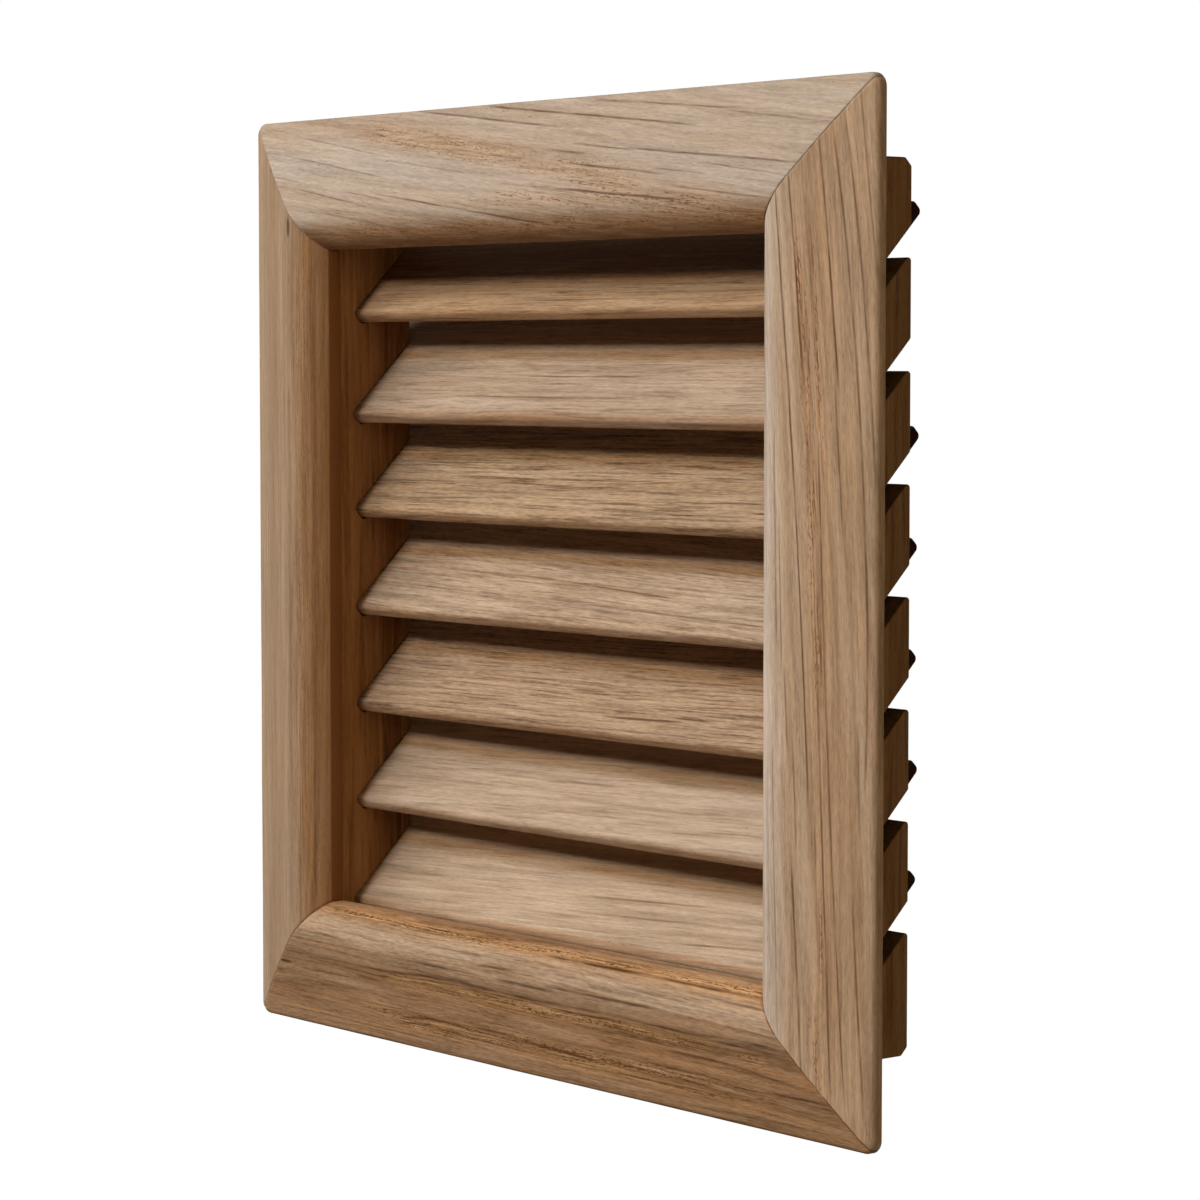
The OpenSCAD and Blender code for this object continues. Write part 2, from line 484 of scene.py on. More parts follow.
moulding = {
    "width": 175.0,  # outside, both ways
    "face": 25.0,  # outer edge to opening
    "crownHeight": 7.5,
    "crownIn": 6.9,
    "innerRadius": 7.4,
    "edgeHeight": 2.4,
    "edgeRadius": 1.1,
    "faceRadius": 120.0,
    "cornerRadius": 2.4,
    "backEase": 0.35,
    "easeSteps": 5,
    "edgeSteps": 12,
    "faceSteps": 62,
    "noseSteps": 40,
    "backSteps": 14,
    "rowsEachWay": 130,
    "crowding": 1.5,  # draws the rows towards the mitres
    "unevenness": 0.05,
    "waves": (2.2, 2.5),  # of the unevenness, along and round
    "evenBack": 0.6,  # height over which the unevenness dies out towards the flat back
    "jointDepth": 0.16,  # the ease where two lengths meet
    "jointWidth": 0.16,
}


def mouldingSection(m):
    # closed line: the eased outer edge, the broad arc, the rounded inner edge, then the flat back
    edge = np.array([m["edgeRadius"], m["edgeHeight"] - m["edgeRadius"]])
    inner = np.array([m["face"] - m["crownIn"], m["crownHeight"] - m["innerRadius"]])
    a = m["faceRadius"] - m["edgeRadius"]
    b = m["faceRadius"] - m["innerRadius"]
    d = np.linalg.norm(inner - edge)
    way = (inner - edge) / d
    reach = (a * a - b * b + d * d) / (2 * d)
    side = np.array([-way[1], way[0]])
    centre = edge + way * reach - side * math.sqrt(a * a - reach * reach)
    start, end = toward(centre, edge), toward(centre, inner)
    innerEnd = math.degrees(math.acos(m["crownIn"] / m["innerRadius"]))
    e = m["backEase"]
    return np.concatenate([
        arc((e, e), e, 270, 180, m["easeSteps"]),
        arc(edge, m["edgeRadius"], 180, start, m["edgeSteps"]),
        arc(centre, m["faceRadius"], start, end, m["faceSteps"])[1:],
        arc(inner, m["innerRadius"], end, innerEnd, m["noseSteps"])[1:],
        arc((m["face"] - e, e), e, 0, -90, m["easeSteps"]),
        np.stack([np.linspace(m["face"] - e, e, m["backSteps"] + 2)[1:-1], np.zeros(m["backSteps"])], 1),
    ])


def mouldingLength(name, turn, seed, sunk):
    # The section is carried along one side of the square. At inset x the side is half = width/2 - x long
    # each way, and bends round a corner of radius cornerRadius - x until it meets the diagonal. The
    # surface sags along its normal by the unevenness and by depth * exp(-(distance / width) squared)
    # at the mitre.
    m = moulding
    section = mouldingSection(m)
    normal = outwards(section)
    u = np.linspace(-1, 1, 2 * m["rowsEachWay"] + 1)[:, None]
    s = np.sign(u) * (1 - (1 - np.abs(u)) ** m["crowding"])
    around = np.linspace(0, 1, len(section), endpoint=False)[None, :]
    half = m["width"] / 2 - section[:, 0]
    toJoint = (1 - np.abs(s)) * half / math.sqrt(2)
    front = np.clip(section[:, 1] / m["evenBack"], 0, 1)
    wavesAlong, wavesRound = m["waves"]
    sag = m["unevenness"] * (0.5 + 0.5 * ripple(s * wavesAlong, around * wavesRound, seed)) + sunk
    sag = sag + m["jointDepth"] * np.exp(-((toJoint / m["jointWidth"]) ** 2))
    x = section[:, 0] - normal[:, 0] * sag * front
    y = section[:, 1] - normal[:, 1] * sag * front
    half = m["width"] / 2 - x
    corner = np.maximum(m["cornerRadius"] - x, 1e-6)
    straight = half - corner
    travel = np.abs(s) * (straight + corner * math.pi / 4)
    angle = np.maximum(travel - straight, 0) / corner
    along = np.sign(s) * (np.minimum(travel, straight) + corner * np.sin(angle))
    away = straight + corner * np.cos(angle)
    c, n = math.cos(math.radians(turn)), math.sin(math.radians(turn))
    grid = np.stack([along * c - away * n, -y, -along * n - away * c], -1)
    return skin(name, grid)


print("finishes for the frame")
railDirections = {"along": (1, 0, 0), "across": (0, 0, 1), "deep": (0, 1, 0)}
stileDirections = {"along": (0, 0, 1), "across": (1, 0, 0), "deep": (0, 1, 0)}

frameOak = {
    "topRail": oakFinish(
        "Oak, top rail", **railDirections, plank=3.0, slant=-0.12, wander=0.8, ringSpacing=3.6,
        ringTurn=25, ringDepth=0.15, ringGaps=0.53, ringWidth=0.4, streakDepth=0.06,
        streakSize=(16.0, 0.5), vesselDepth=0.06, fibreDepth=0.1, broadDepth=0.07,
        lines=((83.3, -0.114, 0, 0.32, -34, 8, 0.9), (85.7, -0.104, 0, 0.34, -12, 43, 1.0),
               (88.2, -0.09, 0, 0.27, 19, 54, 0.7), (89.6, -0.125, 0, 0.26, 54, 80, 0.6),
               (80.6, -0.098, 0, 0.31, 31, 73, 0.8), (80.7, -0.11, 0, 0.27, 15, 30, 0.8),
               (79.0, -0.1, 0, 0.36, 7, 18, 0.9), (77.2, -0.109, 0, 0.34, 17, 38, 1.0),
               (77.5, -0.097, 0, 0.26, 38, 49, 0.6), (81.2, -0.138, 0, 0.22, 52, 72, 0.7),
               (75.6, -0.115, 0, 0.31, 43, 67, 0.5), (72.5, -0.092, 0, 0.38, 14, 46, 0.9),
               (66.5, -0.138, 0, 0.32, -41, 8, 0.85), (65.0, -0.156, 0, 0.26, -51, -39, 0.6),
               (62.3, -0.175, 0, 0.29, -67, -46, 0.6), (60.5, -0.15, 0, 0.31, -56, -35, 0.5),
               (68.6, -0.163, 0, 0.27, -73, -42, 0.6), (73.1, -0.13, 0, 0.26, -41, -16, 0.5),
               (72.1, -0.17, 0, 0.32, -70, -44, 0.45), (64.0, -0.167, 0, 0.27, -80, -64, 0.4)),
        bands=((76.9, -0.155, 0, 2.5, -50, 32, 0.9), (70.2, -0.035, 0, 2.0, -8, 54, 0.8),
               (65.2, 0.0, 0, 2.2, -60, 74, 0.9)),
        stripes=((74.5, -0.06, 3.5, 0.5, (208, 193, 179)), (76.9, -0.155, 2.4, 0.4, (186, 150, 116)),
                 (63.8, 0.0, 2.4, 0.9, (152, 111, 74)), (63.0, 0.0, 2.0, 0.8, (126, 86, 50)),
                 (65.2, 0.0, 2.0, 0.65, (128, 84, 44))),
        pale=(205, 183, 161), warm=(195, 166, 138), grey=(181, 163, 149), halo=(190, 148, 108),
        mitre=(0.2, 0.7), greyness=0.4),
    "bottomRail": oakFinish(
        "Oak, bottom rail", **railDirections, plank=41.0, slant=-0.005, wander=0.9, ringSpacing=4.2,
        ringTurn=20, ringDepth=0.4, ringGaps=0.45, ringWidth=0.6, streakDepth=0.2,
        streakSize=(18.0, 0.5), vesselDepth=0.2, fibreDepth=0.17, broadDepth=0.13, combDepth=2.4,
        lines=((-64.3, 0, 0, 0.38, 8, 66, 1.0), (-62.8, 0, 0, 0.34, -33, 6, 0.7),
               (-66.4, 0, 0, 0.42, -19, -10, 0.6), (-65.8, -0.03, 0, 0.38, 30, 48, 0.6),
               (-64.1, -0.03, 0, 0.38, 48, 68, 0.55),
               (-67.75, 0.02, 0, 0.42, -11, -1, 0.9), (-69.85, -0.015, 0, 0.64, -5, 11, 1.0),
               (-69.2, 0, 0, 0.51, 10, 37, 0.95), (-68.3, -0.024, 0, 0.34, 36, 72, 0.4),
               (-69.75, 0, 0, 0.42, -70, -48, 0.6), (-69.8, 0, 0, 0.34, -30, -8, 0.5),
               (-70.9, 0.045, 0, 0.64, -43, -16, 0.9), (-72.2, -0.02, 0, 0.51, -18, 8, 0.9),
               (-72.3, 0.035, -0.00078, 0.42, 4, 51, 0.7), (-72.8, 0, 0, 0.42, -73, -42, 0.6),
               (-73.6, 0.024, 0, 0.59, 9, 27, 0.7), (-71.7, -0.018, 0, 0.47, 55, 73, 0.8),
               (-75.9, 0.018, 0, 0.51, 22, 40, 0.7), (-76.9, 0.013, 0, 0.51, 41, 54, 0.8),
               (-71.9, -0.082, 0, 0.51, 53, 73, 0.8), (-74.1, 0.028, 0, 0.42, -65, -53, 0.5),
               (-75.0, 0, 0, 0.42, -50, -43, 0.6), (-76.75, 0.01, 0, 0.51, -15, -3, 0.5),
               (-80.7, 0.027, 0, 0.34, 37, 49, 0.8), (-75.4, -0.083, 0, 0.34, 48, 60, 0.7),
               (-77.6, 0.105, 0, 0.51, -37, -28, 0.8), (-80.4, 0, 0, 0.51, -29, -10, 0.7),
               (-80.6, -0.04, 0, 0.64, -12, 19, 0.85), (-80.8, 0.012, 0, 0.38, 66, 79, 0.9),
               (-78.9, 0.1, 0, 0.42, -40, -30, 0.7)),
        bands=((-63.7, 0, 0, 0.8, -60, 66, 0.9), (-73.9, 0, 0, 1.5, -38, 52, 1.0),
               (-74.6, 0, 0, 0.9, 57, 67, 0.8), (-80.9, 0, 0, 1.6, -50, 66, 1.0),
               (-83.0, 0, 0, 0.7, -40, 60, 0.6)),
        stripes=((-63.5, -0.005, 1.3, 0.8, (188, 140, 96)), (-67.2, -0.01, 1.6, 0.6, (197, 172, 147)),
                 (-71.2, -0.012, 1.3, 0.6, (162, 130, 102)), (-75.5, -0.012, 1.6, 0.5, (182, 130, 86)),
                 (-79.0, -0.01, 1.0, 0.4, (150, 114, 84)), (-83.5, 0.0, 2.0, 0.5, (204, 152, 104)),
                 # the stripes at -87.0 and -87.45 are painted shade along the lower outer edge, which faces
                 # down, away from the lamps
                 (-77.6, 0.0, 1.8, 0.5, (176, 126, 80)), (-87.0, 0.0, 1.4, 0.7, (156, 110, 70)),
                 (-87.45, 0.0, 0.3, 1.0, (70, 48, 34)), (-81.3, 0.0, 2.6, 0.6, (150, 104, 66)),
                 (-73.6, 0.0, 2.2, 0.75, (146, 106, 70))),
        marks=((-73.3, -75.0, 2.6, 0.4, 0.8),),
        pale=(198, 165, 132), warm=(189, 140, 96), grey=(162, 133, 106), halo=(196, 148, 96),
        pore=(106, 62, 32), poreDepth=0.85, mainLine=(150, 140, 132), mitre=(0.15, 0.9), glue=0.5,
        warmth=0.7, greyness=0.5),
    "leftStile": oakFinish(
        "Oak, left stile", **stileDirections, plank=17.0, slant=0.0, wander=0.5, ringSpacing=2.4,
        ringTurn=55, ringDepth=0.3, ringGaps=0.5, streakDepth=0.1, streakSize=(30.0, 0.5),
        vesselDepth=0.1, fibreDepth=0.09, broadDepth=0.06, combDepth=1.5, poreDepth=0.35, halo=(176, 128, 84),
        lines=((-69.4, 0, 0, 0.85, -66, 35, 0.3), (-71.5, 0, 0, 0.77, 17, 38, 0.25),
               (-67.0, 0, 0, 0.77, 46, 56, 0.3), (-65.8, 0, 0, 0.68, 0, 40, 0.3),
               (-64.2, 0, 0, 0.59, -60, 62, 0.4)),
        bands=((-66.2, 0, 0, 2.4, -76, 76, 0.7),),
        stripes=((-64.6, 0.0, 2.0, 0.8, (171, 121, 75)), (-72.5, 0.0, 1.5, 0.4, (190, 161, 133)),
                 (-62.4, 0.0, 1.2, 0.8, (168, 118, 72)), (-85.0, 0.0, 2.4, 0.5, (196, 163, 131)),
                 (-77.5, 0.0, 3.0, 0.42, (165, 130, 97))),
        marks=((66.8, -69.4, 2.2, 0.55, 0.7),),
        pale=(183, 154, 125), warm=(175, 140, 107), grey=(168, 140, 114), mitre=(0.15, 0.15),
        inside=(134, 86, 47)),
    "rightStile": oakFinish(
        "Oak, right stile", **stileDirections, plank=29.0, slant=-0.05, curve=-0.0003, wander=0.5,
        ringSpacing=2.3, ringTurn=35, ringDepth=0.25, ringGaps=0.44, ringWidth=0.36, streakDepth=0.06,
        streakSize=(18.0, 0.5), vesselDepth=0.07, fibreDepth=0.11, broadDepth=0.15, combDepth=1.8,
        lines=((74.4, -0.056, -0.0003, 0.29, -29, 69, 0.9), (77.2, -0.054, -0.0003, 0.29, 40, 73, 0.9),
               (81.9, -0.061, -0.0003, 0.24, 37, 76, 0.35), (83.5, -0.056, -0.0003, 0.31, 38, 78, 0.95),
               (82.6, -0.053, -0.0002, 0.26, 14, 36, 0.7), (86.0, -0.015, -0.0008, 0.34, -26, 77, 0.75),
               (87.8, -0.008, -0.0008, 0.29, 22, 82, 0.7), (92.5, -0.094, 0, 0.27, 54, 84, 0.6),
               (69.6, -0.022, 0, 0.34, -4, 31, 0.6), (70.6, -0.03, 0, 0.24, -8, 14, 0.6),
               (70.8, -0.055, 0, 0.29, -22, -9, 0.7), (72.0, -0.045, 0, 0.29, -38, -21, 0.6),
               (70.6, -0.055, 0, 0.34, -77, -41, 0.8), (68.15, -0.028, 0, 0.29, -68, -21, 0.6),
               (77.0, -0.039, 0, 0.31, -78, -11, 0.8), (78.4, -0.037, 0.00019, 0.27, -80, 26, 0.7),
               (80.9, -0.06, 0, 0.34, -80, -48, 0.8), (84.1, -0.022, 0, 0.29, -33, -20, 0.5)),
        bands=((77.35, -0.04, -0.0004, 1.1, -14, 62, 1.0), (79.35, -0.05, 0, 0.6, 20, 62, 0.8),
               (75.3, -0.054, 0, 0.5, -62, -34, 0.9), (67.2, -0.14, 0, 1.2, -79, -63, 0.8)),
        # the stripe at 66.5, paler and greyer along the opening, is a painted sheen on the rounding that
        # faces the key lamp
        stripes=((66.5, -0.01, 3.3, 0.8, (214, 196, 179)), (78.0, -0.03, 3.0, 0.4, (195, 151, 113)),
                 (82.0, -0.03, 4.5, 0.35, (180, 138, 98))),
        pale=(207, 176, 146), warm=(201, 162, 124), grey=(191, 164, 137), halo=(188, 140, 98),
        mainLine=(138, 116, 98), mitre=(0.7, 0.7), inside=(134, 86, 47)),
}

# finish, node, turn in degrees, seed of the unevenness, and how far the piece is sunk, mm
mouldingPieces = (
    ("topRail", "top_rail", 180, 11, 0.0),
    ("bottomRail", "bottom_rail", 0, 12, 0.02),
    ("leftStile", "left_stile", 90, 13, 0.03),
    ("rightStile", "right_stile", -90, 14, 0.0),
)
for name, node, turn, seed, sunk in mouldingPieces:
    piece = mouldingLength(name, turn, seed, sunk)
    fixed(piece, node, frameOak[name])
print("frame of moulding made")

# The slats

slat = {
    "width": 25.5,
    "thickness": 3.0,
    "slope": 45.0,
    "pitch": 18.8,
    "inset": 5.0,  # front edges behind the wall plane
    "rowRise": 2.05,
    "nose": 1.0,
    "length": 140.6,
    "lead": (0, 0.75, 0, 0.1, 0, 0, 1.0),  # extra width at the front edge
    "shift": (0, 2.3, 0, 0.3, 0.4, 0, 0.3),  # how far each slat sits to the left
    "rows": 110,
    "outlineStep": 1.1,
    "noseSteps": 7,
    "endEase": 0.3,
    "endSteps": 5,
    "unevenness": 0.04,
    "waves": (60, 3),  # of the unevenness: length along in mm, and number round
    "seed": 50,
}
slope = math.radians(slat["slope"])
slatDepth = (slat["inset"] + slat["nose"] + (slat["width"] / 2 - slat["nose"]) * math.cos(slope)
             + (slat["thickness"] / 2 - slat["nose"]) * math.sin(slope))


def slatHeight(i):
    # middle of slat i above the opening's, counted from the fourth, which is the middle one
    return slat["rowRise"] + (4 - i) * slat["pitch"]


def stripOutline(width, thickness, radius, steps):
    # strip with rounded corners, as a closed line in its own plane
    x, y = width / 2 - radius, thickness / 2 - radius
    return np.concatenate([
        arc((x, y), radius, 0, 90, steps), arc((-x, y), radius, 90, 180, steps),
        arc((-x, -y), radius, 180, 270, steps), arc((x, -y), radius, 270, 360, steps)])


def slatPiece(i):
    # The strip's outline is carried along X and turned to the slope. Near each end it is drawn in by
    # ease * (1 - sin a), and the surface waves a little along the strip.
    lead = slat["lead"][i - 1]
    outline = stripOutline(slat["width"] + lead, slat["thickness"], slat["nose"], slat["noseSteps"])
    outline = respace(outline, slat["outlineStep"])
    normal = outwards(outline)
    reach = slat["length"] / 2
    ease = slat["endEase"]
    a = np.radians(np.linspace(0, 90, slat["endSteps"]))[:-1]
    ends = reach - ease + ease * np.cos(a)
    drawnIn = ease * (1 - np.sin(a))
    inner = np.linspace(-(reach - ease), reach - ease, slat["rows"])
    x = np.concatenate([-ends, inner, ends[::-1]])[:, None]
    drawn = np.concatenate([drawnIn, np.zeros(len(inner)), drawnIn[::-1]])[:, None]
    around = np.linspace(0, 1, len(outline), endpoint=False)[None, :]
    waveLength, wavesRound = slat["waves"]
    waves = ripple(x / waveLength, around * wavesRound, slat["seed"] + i)
    sag = slat["unevenness"] * (0.5 + 0.5 * waves) + drawn
    s = outline[:, 0] - normal[:, 0] * sag - lead / 2
    n = outline[:, 1] - normal[:, 1] * sag
    depth = slatDepth + s * math.cos(slope) - n * math.sin(slope)
    height = slatHeight(i) + s * math.sin(slope) + n * math.cos(slope)
    grid = np.stack([np.broadcast_to(x - slat["shift"][i - 1], s.shape), depth, height], -1)
    return skin(f"slat{i}", grid)


print("slats")
upSlope = (0, math.cos(slope), math.sin(slope))
offSlope = (0, -math.sin(slope), math.cos(slope))


def slatAcross(i, place):
    # a place on slat i, counted up its slope from its middle, as the finish measures it
    return slatDepth * upSlope[1] + slatHeight(i) * upSlope[2] + place


# pale tone, warm tone, depth of the streaks, depth of the fibres, slope of the grain
slatLooks = (
    ((200, 165, 128), (191, 148, 109), 0.22, 0.13, 0.0),
    ((207, 181, 155), (199, 167, 138), 0.2, 0.11, 0.0),
    ((198, 167, 134), (188, 153, 118), 0.34, 0.18, 0.01),
    ((209, 181, 153), (199, 164, 132), 0.24, 0.15, -0.03),
    ((200, 168, 137), (190, 154, 120), 0.34, 0.17, 0.02),
    ((216, 190, 163), (208, 176, 147), 0.15, 0.09, 0.045),
    ((219, 192, 163), (211, 179, 148), 0.15, 0.09, 0.055),
)
# the main lines of each slat's grain: place up the slope, slope, half width, from, to, strength
slatLines = (
    ((-10.2, 0, 0.35, -10, 20, 0.6), (-8.6, 0, 0.4, 20, 50, 0.5)),
    ((-3.1, 0, 0.35, -18, 12, 0.7), (-8.4, 0, 0.35, -27, 12, 0.6), (-2.7, 0, 0.35, -32, -18, 0.5),
     (-11.0, 0, 0.35, 12, 28, 0.5)),
    ((-3.3, 0, 0.5, -40, -16, 0.9), (-4.4, 0.08, 0.35, 12, 28, 0.8), (-5.15, 0, 0.4, -13, 17, 0.6),
     (-8.4, 0, 0.35, 4, 18, 0.8), (-6.9, 0, 0.45, -52, 0, 0.5), (-9.9, 0, 0.45, -60, -20, 0.4)),
    ((-3.4, -0.067, 0.4, -8, 22, 0.8), (-2.9, -0.028, 0.4, -42, -8, 0.5), (-7.7, -0.04, 0.4, 5, 50, 0.7),
     (-12.3, 0, 0.35, -20, -5, 0.5)),
    ((0.25, 0, 0.7, -40, -28, 0.5), (0.25, 0, 0.6, 18, 33, 0.6), (-3.8, 0, 0.7, -6, 3, 0.8),
     (-9.5, 0.035, 0.45, 9, 28, 0.95), (-7.8, 0, 0.45, 27, 35, 0.7), (-7.7, 0, 0.45, 41, 50, 0.7),
     (-11.4, 0, 0.45, -40, -18, 0.5)),
    ((-1.6, 0.02, 0.45, -15, 3, 0.5), (-8.5, 0.033, 0.4, -10, 10, 0.5)),
    ((-12.7, 0.083, 0.4, 31, 49, 0.9), (-3.85, 0.07, 0.35, -2, 30, 0.6), (-7.5, 0.062, 0.35, 0, 26, 0.6)),
)
# a darker band along the front edge, then painted shade up the slope: the top rail's painted shadow on the
# top slat, and on the others a warm painted penumbra where the shadow of the slat above begins: place up the
# slope, half width, strength, tone
frontEdge = (-13.2, 0.8, 0.75, (168, 120, 78))
# painted shadow of the top rail on the top slat
topSlatEdgeAndPaintedShadow = (frontEdge, (-0.5, 6.0, 1.0, (124, 76, 36)), (1.0, 4.5, 0.8, (110, 64, 28)))
# warm painted penumbra at the edge of the shadow cast by the slat above
otherSlatEdgeAndPaintedPenumbra = (frontEdge, (2.6, 1.7, 0.9, (190, 146, 100)))
for i in range(1, 8):
    pale, warm, streak, fibres, slant = slatLooks[i - 1]
    lines = [(slatAcross(i, place), tilt, 0.0, half, first, last, strength)
             for place, tilt, half, first, last, strength in slatLines[i - 1]]
    slatEdgeAndPaintedShade = topSlatEdgeAndPaintedShadow if i == 1 else otherSlatEdgeAndPaintedPenumbra
    # the slat ends are darkened near black: darker end grain and painted shade
    finish = oakFinish(
        f"Oak, slat {i}", along=(1, 0, 0), across=upSlope, deep=offSlope,
        plank=13.7 * i, slant=slant, wander=0.6, wanderLength=60.0,
        ringSpacing=3.6, ringTurn=62, ringDepth=0.3, ringGaps=0.55, streakDepth=streak,
        streakSize=(11.0, 0.44), streakLevel=0.55, vesselDepth=streak * 0.7, fibreDepth=fibres,
        pale=pale, warm=warm, grey=(164, 138, 114), greyness=0.45, lines=lines, endDepth=1.0,
        stripes=[(slatAcross(i, place), 0.0, half, strength, stripeTone)
                 for place, half, strength, stripeTone in slatEdgeAndPaintedShade])
    piece = slatPiece(i)
    markEndGrain(piece, (1, 0, 0))
    fixed(piece, f"slat_{i}", finish)
print("slats made")

# The side boards

sideBoard = {
    "inside": 64.3,  # inner face from the centre
    "thickness": 10.7,
    "depth": 17.7,
    "height": 150.0,
    "bevel": 1.4,
    "sawnEase": 0.6,
    "edgeEase": 0.3,
    "slotPlay": 0.2,
    "outlineStep": 1.5,
    "edgeSteps": 5,
    "flatRows": 4,
    "filletSteps": 7,
}


def filleted(corners, radii, steps):
    # polygon whose corner k is replaced by an arc of radius radii[k] that touches both its sides
    corners = np.array(corners, float)
    line = []
    for k, p in enumerate(corners):
        r = radii[k]
        back = corners[k - 1] - p
        ahead = corners[(k + 1) % len(corners)] - p
        back /= np.linalg.norm(back)
        ahead /= np.linalg.norm(ahead)
        if not r:
            line.append(p[None, :])
            continue
        halfAngle = math.acos(float(np.clip(back @ ahead, -1, 1))) / 2
        middle = (back + ahead) / np.linalg.norm(back + ahead)
        centre = p + middle * r / math.sin(halfAngle)
        first = p + back * r / math.tan(halfAngle)
        last = p + ahead * r / math.tan(halfAngle)
        a0, a1 = toward(centre, first), toward(centre, last)
        a1 = a0 + (a1 - a0 + 180) % 360 - 180
        line.append(arc(centre, r, a0, a1, steps))
    return np.concatenate(line)


def combOutline():
    # the board's outline as (depth, height), up its back edge, with a slot for each slat
    b, s = sideBoard, slat
    h, d = b["height"] / 2, b["depth"]
    run = np.array([math.cos(slope), math.sin(slope)])
    rise = np.array([-math.sin(slope), math.cos(slope)])
    corners = [(0, -h), (d - b["bevel"], -h), (d, -h + b["bevel"])]
    radii = [0, b["sawnEase"], b["sawnEase"]]
    for i in range(7, 0, -1):
        middle = np.array([slatDepth, slatHeight(i)])
        front = -s["width"] / 2 - s["lead"][i - 1] - b["slotPlay"]
        low, high = -s["thickness"] / 2, s["thickness"] / 2 + b["slotPlay"]
        for n, order in ((low, 1), (high, -1)):
            deepEnd = middle + run * front + rise * n
            mouth = deepEnd + run * (d - deepEnd[0]) / run[0]
            corners += [mouth, deepEnd][::order]
            radii += [b["sawnEase"], s["nose"]][::order]
    corners += [(d, h - b["bevel"]), (d - b["bevel"], h), (0, h)]
    radii += [b["sawnEase"], b["sawnEase"], 0]
    return filleted(corners, radii, b["filletSteps"])


def boardPiece(name, side):
    # The outline is carried across the board's thickness. Next to each face it is drawn in by
    # ease * (1 - sin a) where it has travelled ease * (1 - cos a), which eases the sawn edges.
    b = sideBoard
    outline = respace(combOutline(), b["outlineStep"])
    normal = outwards(outline)
    ease = b["edgeEase"]
    a = np.radians(np.linspace(0, 90, b["edgeSteps"]))
    drawn = ease * (1 - np.sin(a))
    inward = ease * (1 - np.cos(a))
    flat = np.linspace(ease, b["thickness"] - ease, b["flatRows"] + 2)[1:-1]
    travel = np.concatenate([inward, flat, (b["thickness"] - inward)[::-1]])
    drawn = np.concatenate([drawn, np.zeros(b["flatRows"]), drawn[::-1]])
    line = outline[None] - normal[None] * drawn[:, None, None]
    line[:, :, 0] = np.maximum(line[:, :, 0], 0.0)
    x = side * (b["inside"] + travel)
    grid = np.stack([np.broadcast_to(x[:, None], line.shape[:2]), line[:, :, 0], line[:, :, 1]], -1)
    return skin(name, grid)


print("side boards")
boardOak = {
    # the left board's stripe at 13.5 darkens it towards its back edge: painted shade
    "left": dict(plank=7.0, stripes=((13.5, 0.0, 5.0, 0.9, (114, 72, 37)),),
                 pale=(180, 131, 84), warm=(163, 110, 64), grey=(145, 104, 69)),
    "right": dict(plank=22.0, pale=(162, 123, 84), warm=(147, 104, 66), grey=(132, 98, 69)),
}
for hand, side in (("left", -1), ("right", 1)):
    # the boards' end grain and slanted slot walls are darkened: darker end grain and painted shade
    finish = oakFinish(
        f"Oak, {hand} side board", **boardOak[hand], along=(0, 0, 1), across=(0, 1, 0), deep=(1, 0, 0),
        wander=0.8, ringSpacing=3.0, ringTurn=35, ringDepth=0.5, ringGaps=0.4, ringWidth=0.5,
        streakDepth=0.25, streakSize=(20.0, 1.0), roughness=0.7, endDepth=1.0)
    piece = boardPiece(f"{hand}SideBoard", side)
    markEndGrain(piece, (0, 0, 1))
    fixed(piece, f"{hand}_side_board", finish)
print("side boards made")

# Floor, light and camera

studio = {
    "floorHalf": 2.0,
    "floorHeight": -1.2,
    "floorColour": (0.86, 0.85, 0.84, 1),
    "floorGlow": 0.8,  # what the camera sees of the floor beyond the light on it
    "worldLevel": 0.0,
}


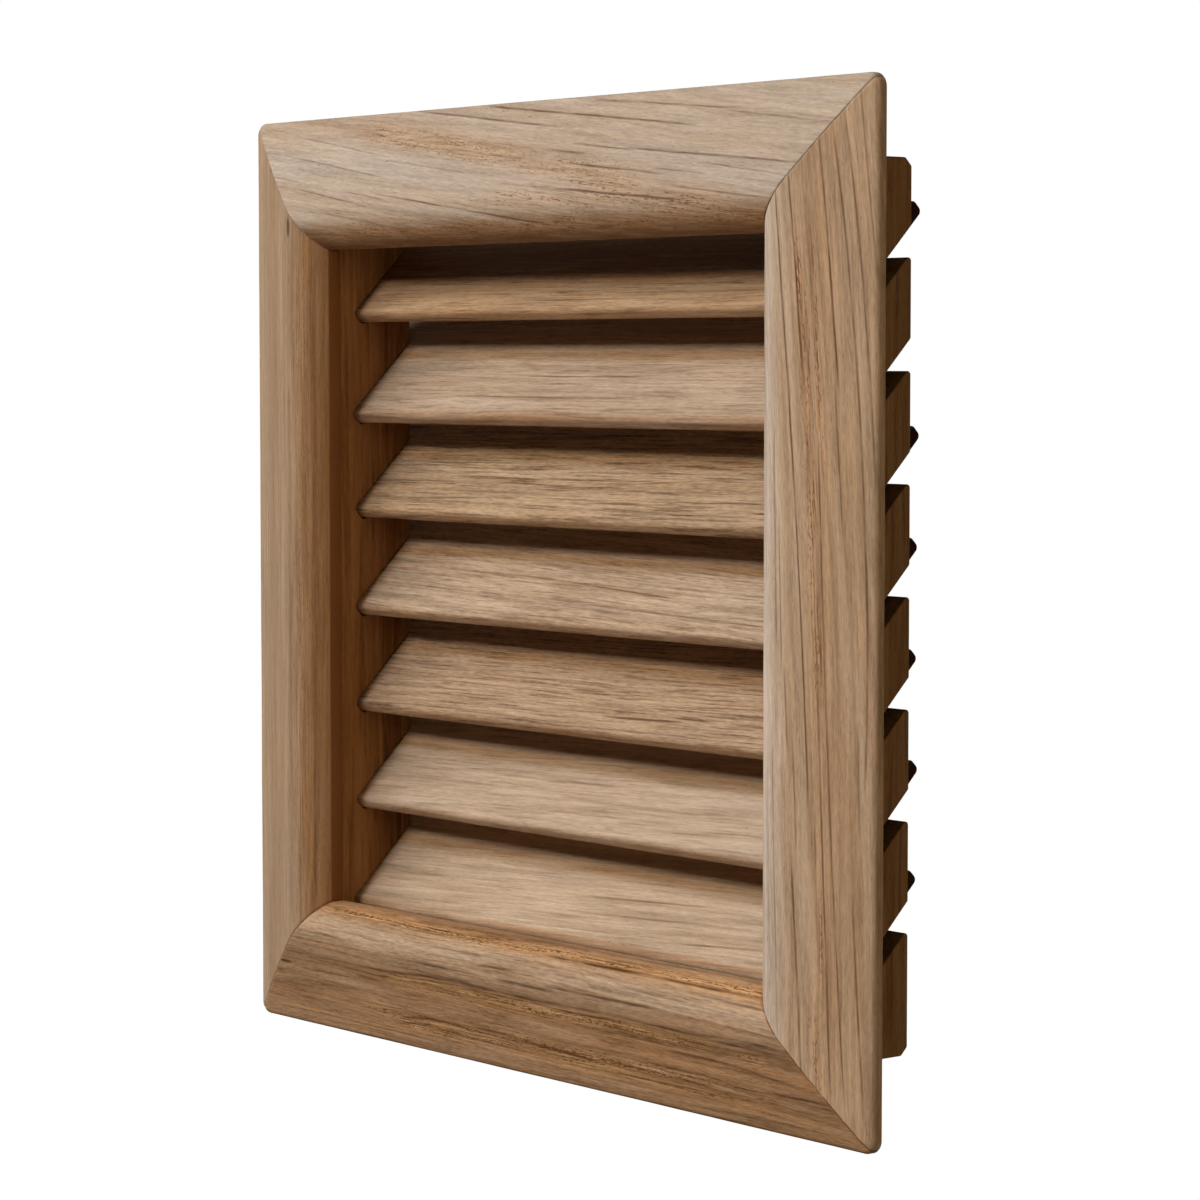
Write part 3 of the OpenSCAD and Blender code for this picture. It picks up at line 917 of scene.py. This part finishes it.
def floorAndWorld():
    mesh = bpy.data.meshes.new("floor")
    h, z = studio["floorHalf"], studio["floorHeight"]
    mesh.from_pydata([(-h, -h, z), (h, -h, z), (h, h, z), (-h, h, z)], [], [(0, 1, 2, 3)])
    floor = bpy.data.objects.new("floor", mesh)
    bpy.context.scene.collection.objects.link(floor)
    paper = bpy.data.materials.new("Pale floor")
    paper.use_nodes = True
    tree = paper.node_tree
    shader = tree.nodes["Principled BSDF"]
    shader.inputs["Base Color"].default_value = studio["floorColour"]
    shader.inputs["Roughness"].default_value = 0.9
    path = tree.nodes.new("ShaderNodeLightPath")
    seen = Measure(tree, path.outputs["Is Camera Ray"])
    shader.inputs["Emission Color"].default_value = (1, 1, 1, 1)
    plug(tree, shader.inputs["Emission Strength"], seen * studio["floorGlow"])
    mesh.materials.append(paper)

    world = bpy.data.worlds.new("Studio")
    bpy.context.scene.world = world
    world.use_nodes = True
    tree = world.node_tree
    backdrop = tree.nodes["Background"]
    backdrop.inputs["Color"].default_value = (1, 1, 1, 1)
    path = tree.nodes.new("ShaderNodeLightPath")
    seen = Measure(tree, path.outputs["Is Camera Ray"]) + Measure(tree, path.outputs["Is Glossy Ray"])
    seen = seen + Measure(tree, path.outputs["Is Transmission Ray"])
    level = studio["worldLevel"]
    plug(tree, backdrop.inputs["Strength"], seen.calc("MINIMUM", 1.0) * (1 - level) + level)


def softbox(name, azimuth, elevation, distance, width, height, strength, colour=(1, 1, 1)):
    # azimuth is measured from straight in front towards the right, seen from the room. The energy grows
    # with the square of the distance, so strength is the light that reaches the grille.
    a, e = math.radians(azimuth), math.radians(elevation)
    lamp = bpy.data.lights.new(name, "AREA")
    lamp.shape = "RECTANGLE"
    lamp.size, lamp.size_y = width, height
    lamp.energy = strength * 4 * math.pi * distance ** 2
    lamp.color = colour
    box = bpy.data.objects.new(name, lamp)
    away = np.array([math.sin(a) * math.cos(e), -math.cos(a) * math.cos(e), math.sin(e)])
    box.location = (away * distance).tolist()
    box.rotation_euler = (math.radians(90) - e, 0, a)
    bpy.context.scene.collection.objects.link(box)


# name, azimuth, elevation, distance, width, height, strength and, where it isn't white, colour
lamps = (
    ("Left window box", -52, 28, 1.6, 1.0, 0.2, 0.33),
    ("Front softbox", 0, 27, 1.6, 0.45, 0.22, 0.32),
    ("Top softbox", -20, 42, 1.6, 0.45, 0.2, 0.098),
    ("Warm side fill", 70, 20, 1.6, 1.6, 1.6, 0.165, (1.0, 0.78, 0.48)),
)
floorAndWorld()
for values in lamps:
    softbox(*values)

cameraPlace = {
    "location": (0.5208, -0.4167, 0.0416),
    "yaw": 50.502,
    "pitch": -3.687,
    "lens": 111.915,
    "sensor": 36.0,
}
lens = bpy.data.cameras.new("Camera")
lens.lens = cameraPlace["lens"]
lens.sensor_width = cameraPlace["sensor"]
lens.clip_start, lens.clip_end = 0.01, 50
camera = bpy.data.objects.new("Camera", lens)
camera.location = cameraPlace["location"]
camera.rotation_euler = (math.radians(90 + cameraPlace["pitch"]), 0, math.radians(cameraPlace["yaw"]))
bpy.context.scene.collection.objects.link(camera)
bpy.context.scene.camera = camera

settings = bpy.context.scene.view_settings
settings.view_transform = "Standard"
print("light and camera set")
